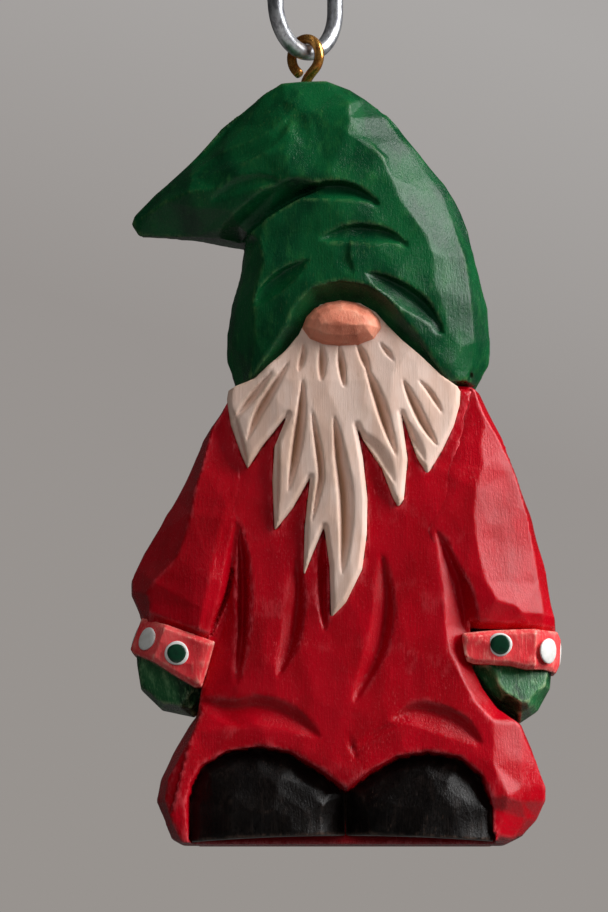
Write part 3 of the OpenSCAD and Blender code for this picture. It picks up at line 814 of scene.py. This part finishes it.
HAT_CREASES = [
    HAT_EDGE,
    # inner edge of the steep flat on the right, then the two big flats beside it
    [(2.5, 97.6, 4), (5.2, 95.1, 4.7), (7.3, 92, 5), (9.8, 88.4, 5.2), (12.5, 85, 5.3), (14.1, 80.2, 6.4),
     (15.4, 76.4, 7.6),
     (15.8, 74, 7.8), (16.3, 69.7, 7.9), (16.6, 65.3, 7.8), (16.2, 61.6, 7.4), (15.6, 59.2, 7.8)],
    [(2.5, 97.6, 4), (0.4, 96.6, 6.9), (0.5, 94.5, 8.1), (0, 92.6, 8.9), (2.4, 92.2, 8.1), (5.6, 89.2, 7.9),
     (9.8, 84.9, 7.3),
     (14.1, 80.2, 6.4)],
    [(0, 92.6, 8.9), (4.6, 89.6, 8.8), (5.9, 86.5, 9.3), (6.5, 84.6, 9.4), (8.5, 81.6, 9.5),
     (10.4, 79, 9.6), (11.3, 76.5, 9.7),
     (11.4, 73, 10.2), (12.6, 69.6, 9.9), (13.4, 66.5, 9.6), (14.8, 64.4, 8.9), (16.6, 65.3, 7.8)],
    [(4.6, 89.6, 8.8), (5.6, 89.2, 7.9)],
    # crown
    [(-2.6, 100.1, 4.2), (-1.3, 98.3, 5.2), (0.4, 96.6, 6.9)],
    [(-5.9, 100, 4), (-6.2, 98.4, 5.4), (-4.6, 95.3, 7.4), (0.5, 94.5, 8.1)],
    [(-4.6, 95.3, 7.4), (-3, 90, 9.2), (-2, 87.4, 10.1), (0, 80, 11), (0.3, 75, 11.6), (0, 72.4, 11.9)],
    # cut edge of the brim
    [(15.6, 59.2, 7.8), (13.4, 61.6, 9.4), (11, 64.2, 10.4), (9, 66.4, 11), (6.4, 69.2, 11.6),
     (4.4, 71, 11.9), (2, 72, 12),
     (0, 72.4, 11.9), (-3, 71.6, 11.9), (-5.8, 69.4, 11.5), (-8, 66.3, 11), (-10.4, 63.5, 10.3),
     (-12.7, 60.3, 9.2),
     (-13, 59, 8.6)],
    # steep wall on the left
    [(-13.2, 78.7, 4.4), (-11.3, 78.4, 9.6), (-10.8, 75.5, 10.3), (-11.7, 72.5, 10.2), (-12, 69.5, 10.2),
     (-11.9, 65, 9.9),
     (-12.4, 62.3, 9.5), (-12.7, 60.3, 9.2)],
    [(-13.2, 78.7, 4.4), (-13.1, 75, 6.6), (-14.3, 70, 6.4), (-14.9, 65, 5.6), (-14.4, 59.4, 3.8)],
    # hanging tip
    [(-27.2, 79.7, 1.8), (-26.4, 82.2, 2.9), (-23.6, 84, 4.8), (-20.6, 85, 6.9), (-19.4, 82.9, 6.6),
     (-20, 79.5, 2.9)],
    [(-19.4, 82.9, 6.6), (-15.2, 82.5, 7.6), (-14, 80.7, 7), (-13.2, 78.7, 4.4)],
    [(-20.6, 85, 6.9), (-16.9, 85.3, 8.1), (-9, 85.2, 9.6), (-5, 86.7, 10.1), (-2, 87.4, 10.1)],
    [(-16.9, 85.3, 8.1), (-14.5, 87.5, 8.6), (-10.8, 89.9, 9.2), (-7.8, 89.5, 9.7), (-7.3, 86.9, 10.1),
     (-9, 85.2, 9.6)],
    [(-20.6, 85, 6.9), (-20, 87.4, 5.6), (-16, 89.5, 6.9), (-12.4, 91, 7.8), (-9.2, 93, 8), (-7.3, 95, 7.5),
     (-6.2, 98.4, 5.4)],
]
HAT_BACK_CREASES = [
    HAT_EDGE,
    [(-24, 83, 4.4), (-17, 86, 8), (-10, 88, 10), (-3, 86, 11), (3, 80, 11.2), (5, 70, 11.2), (4, 60, 10.6)],
    [(-19, 88.4, 5), (-12, 94.5, 6.2), (-7, 97.6, 6.4), (-1, 96.8, 6.4), (5, 91.4, 7.4), (10, 84.6, 8),
     (13.4, 77, 8.2),
     (15.2, 69, 8), (15, 60, 7.6)],
    [(-12, 78, 7.4), (-11, 72, 9), (-11.8, 66, 8.8), (-11.6, 60, 8.2)],
    [(-6, 82, 10.6), (-5, 74, 11), (-5, 62, 10.4)],
    [(-7, 97.6, 6.4), (-5, 92, 9.4), (-3, 86, 11)],
]


def hat():
    step = 0.28
    x, z = grid(-28.6, 19, NECK - 0.4, 100, step)
    front = relief(HAT_CREASES, x, z) - scoops(x, z, 6, 5, 0.12)
    back = relief(HAT_BACK_CREASES, x, z) - scoops(x, z, 6, 6, 0.3)
    for path, deep, above, below, hollow, ends in (
        ([(-13.6, 79), (-10.2, 81.9), (-6.5, 84), (-3.4, 85.2)], 2.9, 3.0, 0.5, False, (1, 0.2)),
        ([(-7, 84.3), (-3.4, 85.2), (-0.6, 85.3), (1.6, 84.7), (3.8, 83.4)], 1.6, 0.8, 1.8, True, (0, 0.4)),
        ([(-3.6, 78.4), (0, 79.5), (3, 79.6), (5.6, 79.1), (7.6, 77.9)], 1.2, 0.8, 1.8, True, (0, 0.35)),
        ([(2.6, 74), (5, 73.1), (8, 71.5), (10.4, 69.6), (12.2, 67)], 1.45, 0.8, 2.3, True, (0.1, 0.45)),
        ([(-12.2, 69.6), (-10.4, 72), (-8, 74), (-5.2, 75.6)], 1.1, 0.8, 1.8, True, (0, 0.2)),
        ([(-20.4, 86.8), (-16, 89.1), (-12, 90.5), (-9.3, 92.3), (-7, 95)], 0.6, 1.2, 1.3, True, (0, 0)),
        ([(-21.6, 87.9), (-18.4, 90.6), (-14.4, 94.8), (-11.4, 98)], 0.8, 0.5, 1.7, False, (0, 0.3)),
        ([(-17.6, 83.8), (-14.6, 85.4), (-11.4, 86.2), (-8.6, 86)], 0.5, 1.1, 1.1, True, (0, 0)),
        ([(-8.6, 97), (-6.4, 94), (-5.2, 90.6)], 0.25, 1.4, 1.4, True, (0, 0)),
        ([(0.3, 78.4), (0.1, 76), (1, 73.6)], 0.45, 0.4, 1.8, False, (0.4, 0)),
        ([(16.5, 62), (15.7, 59.6)], 1.2, 0.25, 0.25, False, (0, 1)),
    ):
        front = front - cut(path, x, z, deep, above, below, hollow, ends)
    for path in ([(-16, 84), (-8, 87), (2, 85)], [(-9, 75), (0, 77.6), (9, 74)],
                 [(-10, 65), (-2, 69), (7, 67)]):
        back = back - cut(path, x, z, 1.3, 0.6, 2.6)
    face = inset(BRIM, x, z)
    region = inset([spot[:2] for spot in HAT_EDGE[:-5]], x, z)

    def mouth(x, y, z):
        """Positive inside the hollow for the face, whose wall slopes out towards the front."""
        full = np.clip((14.5 - np.abs(x)) / 5, 0, 1)
        inside = face[:, None, :] + full * np.clip((-y - 8.6) * 0.8, -0.4, 2.2)
        return np.minimum(inside, -y - 6.2)

    carve_piece("hat", GREEN, region, front, back, x, z, step, mouth, 0.4)


# ---------------------------------------------------------------- beard, nose and boots

def beard():
    step = 0.2
    x, z = grid(-16, 15.5, 29, 71.5, step)
    locks = inset(LOCKS + BRIM, x, z)
    open_edge = inset(LOCKS + [(-15.3, 75), (14.8, 75)], x, z)
    depth = np.interp(x, [-17, -14, -9, 0, 6, 10, 14, 17],
                      [9.4, 9.9, 10.7, 11.2, 10.7, 9.9, 8.9, 7.9]) + 0 * z
    depth = np.minimum(depth, np.interp(z, [28, 34, 42, 50, 60, 66, 70],
                                        [10.8, 11.1, 11.3, 11.2, 10.8, 10, 9.2]))
    depth = depth - 0.5 + 0.9 * np.clip(open_edge, 0, 0.55)
    depth = depth - scoops(x, z, 4, 8, 0.1)
    for path, deep, right, left in (
        ([(-5.5, 65), (-5.8, 63), (-6.3, 61)], 0.6, 0.6, 0.4),
        ([(-3.3, 65), (-3.3, 62), (-3.3, 59.8)], 0.8, 0.8, 0.5),
        ([(-1, 64.6), (-0.8, 62), (-0.3, 59)], 0.8, 0.7, 0.45),
        ([(1.3, 64.9), (2, 63), (2.9, 60.8)], 0.7, 0.8, 0.4),
        ([(2.4, 61.8), (3.8, 57.6), (4.8, 54.4), (6.4, 50.1)], 1.0, 1.2, 0.5),
        ([(4.2, 65), (5, 63.9), (6.1, 62.5)], 0.5, 0.5, 0.3),
        ([(-7.4, 62.6), (-9.6, 59.2), (-11.6, 55.8), (-12.9, 52.2)], 0.85, 0.9, 0.5),
        ([(-9.5, 61.3), (-11.5, 58.9), (-13.2, 56.8), (-14.8, 54.6)], 0.7, 0.7, 0.45),
        ([(-5.7, 60.4), (-6.1, 56), (-6.8, 51), (-7.6, 45.5)], 1.0, 1.1, 0.5),
        ([(-4.6, 56.4), (-3.9, 52), (-3.4, 48), (-3.7, 45.5), (-4.5, 41.6)], 0.8, 0.6, 0.45),
        ([(-1.7, 55.4), (-1.2, 50), (-0.6, 45), (-0.5, 40), (-0.7, 34.8)], 1.2, 1.6, 0.6),
        ([(7.2, 60.2), (8.5, 57), (10, 54), (11.8, 51.5)], 0.95, 1.0, 0.5),
        ([(9.2, 60.2), (10.8, 58.4), (12.5, 55.7)], 0.5, 0.5, 0.35),
        ([(-8.9, 53.6), (-9, 48), (-9, 42.6)], 0.5, 0.4, 0.9),
        ([(1.5, 53.4), (3.9, 50.6), (6.2, 46.6)], 0.5, 1.4, 0.4),
        ([(7.3, 55.2), (8.6, 52.4), (10.2, 49.4)], 0.5, 1.0, 0.4),
        ([(-14.8, 56.4), (-14, 53.4), (-12.9, 49.6)], 0.5, 0.4, 1.2),
    ):
        depth = depth - cut(path, x, z, 1.2 * deep, right, left)
    back = -5.0 + 0 * depth
    back = np.where(np.abs(x) > 9, -5.0 + 0.1 * (np.abs(x) - 9), back)
    carve_piece("beard", PALE, locks, depth, back, x, z, step)


def nose():
    step = 0.12
    x, z = grid(-6.2, 5, 64, 71.6, step)
    inside = inset(NOSE, x, z)
    depth = np.interp(inside, [0, 0.5, 1.4, 2.6, 4], [9.6, 10.9, 12.0, 12.6, 12.8])
    # flats of the knife: one on top, a row along the lower edge
    for cx, cz, gx, gz, deep in (
        (-0.6, 68.6, -0.12, -0.36, 12.2), (-4.2, 67.2, 0.75, -0.15, 11.7), (-2.8, 65.8, 0.3, 0.75, 11.9),
        (-0.2, 65.6, -0.02, 0.85, 12), (2.4, 66, -0.5, 0.7, 11.9), (3.4, 67.6, -0.8, -0.2, 11.7),
    ):
        depth = np.minimum(depth, deep + gx * (x - cx) + gz * (z - cz))
    back = -6.5 + 0 * depth
    carve_piece("nose", TAN, inside, depth, back, x, z, step)


def boot(side):
    step = 0.22
    outline = BOOT_LEFT if side < 0 else BOOT_RIGHT
    left, right = min(p[0] for p in outline), max(p[0] for p in outline)
    x, z = grid(left, right, -0.6, 12.6, step)
    inside = inset(outline, x, z)
    open_top = inset([(px, pz if pz > 0 else -9) for px, pz in outline], x, z)
    depth = np.interp(open_top, [0, 1.2, 3, 5, 8], [9.0, 10.0, 10.9, 11.6, 12.0])
    depth = np.minimum(depth, 12.2 - 0.02 * np.maximum(z - 1, 0) ** 2)
    depth = depth - scoops(x, z, 5, 4, 0.22, 0.7)
    depth = depth - cut([(-0.3, 7.6), (-0.4, 4), (0, -1.5)], x, z, 2.1, 3.2, 3.0, ends=(0.1, 1))
    back = -6.5 + 0 * depth

    def sole(x, y, z):
        return arch(x) + 0.1 - z + 0 * y

    carve_piece("boot_" + SIDES[side], BLACK, inside, depth, back, x, z, step, sole)


# ---------------------------------------------------------------- wire

def wire(name, centre_line, radii, closed, body, node, material, sides=28):
    """A round wire along points, with a radius at each: a closed ring, or ended in flat cuts."""
    p = np.array(centre_line, float)
    if closed:
        along = np.roll(p, -1, 0) - np.roll(p, 1, 0)
    else:
        along = np.gradient(p, axis=0)
    along /= np.linalg.norm(along, axis=1)[:, None]
    normal = np.cross(along[0], (0.3, 0.2, 0.93))
    rings = []
    for point, ahead, radius in zip(p, along, radii):
        normal = normal - ahead * np.dot(normal, ahead)
        normal /= np.linalg.norm(normal)
        other = np.cross(ahead, normal)
        turn = np.arange(sides) * 2 * math.pi / sides
        rings.append(point + radius * (np.cos(turn)[:, None] * normal + np.sin(turn)[:, None] * other))
    verts = np.vstack(rings)
    count = len(rings)
    faces = []
    shift = 0
    if closed:  # the frame comes back turned, so the last ring joins the first one that many sides on
        first, last = rings[0], rings[-1]
        shift = int(np.argmin([np.linalg.norm(np.roll(first, -k, 0) - last) for k in range(sides)]))
    for r in range(count if closed else count - 1):
        a, b = r * sides, ((r + 1) % count) * sides
        turn = shift if closed and r == count - 1 else 0
        for k in range(sides):
            faces.append((a + k, a + (k + 1) % sides, b + (k + 1 + turn) % sides, b + (k + turn) % sides))
    if not closed:
        faces.append(tuple(range(sides))[::-1])
        faces.append(tuple((count - 1) * sides + k for k in range(sides)))
    return make_mesh(name, verts, faces, body, [node], material)


EYE_X = -5.3
CROWN_TOP = 100.0
EYE_WIRE, EYE_RADIUS = 1.3, 2.35
EYE_CENTRE = CROWN_TOP + EYE_RADIUS * math.sqrt(2) + 0.4
EYE_TURN = math.radians(-40)
LINK_WIRE, LINK_BEND, LINK_LEG = 2.1, 6.1, 8.0
LINK_FOOT = EYE_CENTRE + 0.59  # the link's lowest wire, at its middle


def upright(points, turn):
    """Points given across and up in a plane that stands on the eye's axis, turned about it."""
    c, s = math.cos(turn), math.sin(turn)
    return [(EYE_X + a * c, a * s, b) for a, b in points]


def screw_eye():
    knee = EYE_CENTRE - EYE_RADIUS * math.sqrt(2)
    shank = [(0, 92.4), (0, 96), (0, 99)]  # inside the wood, from its point up
    line = shank + [(0, knee - 0.25)]
    line += [(0.12, knee + 0.05), (0.36, knee + 0.42), (0.8, knee + 0.9)]
    line += [(EYE_RADIUS * math.cos(a), EYE_CENTRE + EYE_RADIUS * math.sin(a))
             for a in np.radians(np.linspace(-45, 222, 40))]
    last = np.array(line[-1])
    toward = np.array([0.72, -0.69])
    line += [tuple(last + toward * reach) for reach in (0.35, 0.7, 1.0)]
    radii = [EYE_WIRE / 2] * (len(line) - 1) + [EYE_WIRE / 2 * 0.93]
    radii[:2] = [0.3, EYE_WIRE / 2]
    wire("screw_eye_wire", upright(line, EYE_TURN), radii, False, "eye", "screw_eye", BRASS)


def hanging_link():
    low = LINK_FOOT + LINK_BEND
    high = low + LINK_LEG
    line = [(LINK_BEND * math.cos(a), low + LINK_BEND * math.sin(a))
            for a in np.radians(np.linspace(180, 360, 40))]
    line += [(LINK_BEND, z) for z in np.linspace(low, high, 12)[1:-1]]
    line += [(LINK_BEND * math.cos(a), high + LINK_BEND * math.sin(a))
             for a in np.radians(np.linspace(0, 180, 40))]
    line += [(-LINK_BEND, z) for z in np.linspace(high, low, 24)[1:-1]]
    weld = [math.exp(-((a + LINK_BEND) ** 2 + (b - low - 1.2) ** 2) / 0.9) for a, b in line]
    radii = [LINK_WIRE / 2 * (1 + 0.14 * w) for w in weld]
    wire("hanging_link_wire", upright(line, EYE_TURN + math.pi / 2), radii, True, "link", "hanging_link",
         STEEL)


# ---------------------------------------------------------------- studio

def area_light(name, place, target, size, power, colour=(1, 1, 1)):
    data = bpy.data.lights.new(name, "AREA")
    data.shape = "RECTANGLE"
    data.size, data.size_y = size
    data.energy = power
    data.color = colour
    lamp = bpy.data.objects.new(name, data)
    lamp.location = place
    lamp.rotation_euler = (Vector(target) - Vector(place)).to_track_quat("-Z", "Y").to_euler()
    lamp.visible_camera = False
    bpy.context.scene.collection.objects.link(lamp)
    return lamp


def studio():
    middle = Vector((0, 0, 0.055))
    area_light("key", middle + Vector((0.67, -0.18, 0.40)), middle, (0.5, 0.7), 11.5)
    fill = area_light("fill", middle + Vector((-0.1, -0.88, 0.34)), middle, (0.9, 0.9), 2.3)
    fill.visible_glossy = False
    rim = area_light("rim", middle + Vector((-0.5, 0.7, 0.25)), middle, (0.4, 0.7), 0.5)
    rim.visible_glossy = False

    floor_mesh = bpy.data.meshes.new("floor")
    half, drop_to = 4.0, -0.35
    floor_mesh.from_pydata([(-half, -half, drop_to), (half, -half, drop_to), (half, half, drop_to),
                            (-half, half, drop_to)], [], [(0, 1, 2, 3)])
    paper = Paint("floor_paper")
    shade = paper.mix(paper.noise((60, 60, 60)), rgb(196, 193, 190), rgb(190, 187, 184))
    paper.put(paper.shader.inputs["Base Color"], shade)
    paper.shader.inputs["Roughness"].default_value = 0.8
    floor_mesh.materials.append(paper.material)
    floor = bpy.data.objects.new("floor", floor_mesh)
    bpy.context.scene.collection.objects.link(floor)
    floor.visible_diffuse = False

    world = bpy.data.worlds.new("room")
    bpy.context.scene.world = world
    world.use_nodes = True
    tree = world.node_tree
    tree.nodes.clear()
    new, link = tree.nodes.new, tree.links.new
    out = new("ShaderNodeOutputWorld")
    seen, felt = new("ShaderNodeBackground"), new("ShaderNodeBackground")
    which, join = new("ShaderNodeLightPath"), new("ShaderNodeMixShader")
    felt.inputs["Color"].default_value = (1, 0.98, 0.96, 1)
    felt.inputs["Strength"].default_value = 0.035
    # the backdrop the camera sees is painted light: lighter towards the top and a little towards the right,
    # as the light falls on it
    split, lean = new("ShaderNodeSeparateXYZ"), new("ShaderNodeMath")
    painted_backdrop_light = new("ShaderNodeValToRGB")
    link(new("ShaderNodeTexCoord").outputs["Generated"], split.inputs[0])
    lean.operation = "MULTIPLY_ADD"
    lean.inputs[1].default_value = 0.35
    link(split.outputs["X"], lean.inputs[0])
    link(split.outputs["Z"], lean.inputs[2])
    link(lean.outputs[0], painted_backdrop_light.inputs[0])
    link(painted_backdrop_light.outputs[0], seen.inputs["Color"])
    painted_backdrop_light.color_ramp.elements[0].color = (*rgb(152, 147, 143), 1)
    painted_backdrop_light.color_ramp.elements[1].position = 0.16
    painted_backdrop_light.color_ramp.elements[1].color = (*rgb(170, 167, 165), 1)
    painted_backdrop_light.color_ramp.elements.new(0.09).color = (*rgb(152, 147, 144), 1)
    link(which.outputs["Is Camera Ray"], join.inputs[0])
    link(felt.outputs[0], join.inputs[1])
    link(seen.outputs[0], join.inputs[2])
    link(join.outputs[0], out.inputs[0])


def camera():
    image_height, mm_per_pixel = 912, 0.131  # at the figure's middle plane
    height_mm = image_height * mm_per_pixel
    distance, elevation = 0.8, math.radians(-4.5)
    target = Vector((-0.0055, 0, 0.051))
    data = bpy.data.cameras.new("camera")
    data.sensor_width = 36
    data.lens = 36 * distance / (height_mm * MM)
    data.clip_start, data.clip_end = 0.01, 20
    eye = bpy.data.objects.new("camera", data)
    back = Vector((0, -math.cos(elevation), math.sin(elevation)))
    eye.location = target + back * distance
    eye.rotation_euler = (-back).to_track_quat("-Z", "Y").to_euler()
    bpy.context.scene.collection.objects.link(eye)
    bpy.context.scene.camera = eye


bpy.context.scene.view_settings.view_transform = "Standard"
camera()
studio()
coat()
hat()
beard()
nose()
for hand in (-1, 1):
    sleeve(hand)
    cuff(hand)
    mitten(hand)
    boot(hand)
    dots(hand, every=1, radius=1.6, height=0.28, base=0.0, colour="white", material=WHITE_DROP)
    dots(hand, every=4, radius=1.28, height=0.26, base=0.2, colour="green", material=GREEN_DROP)
screw_eye()
hanging_link()
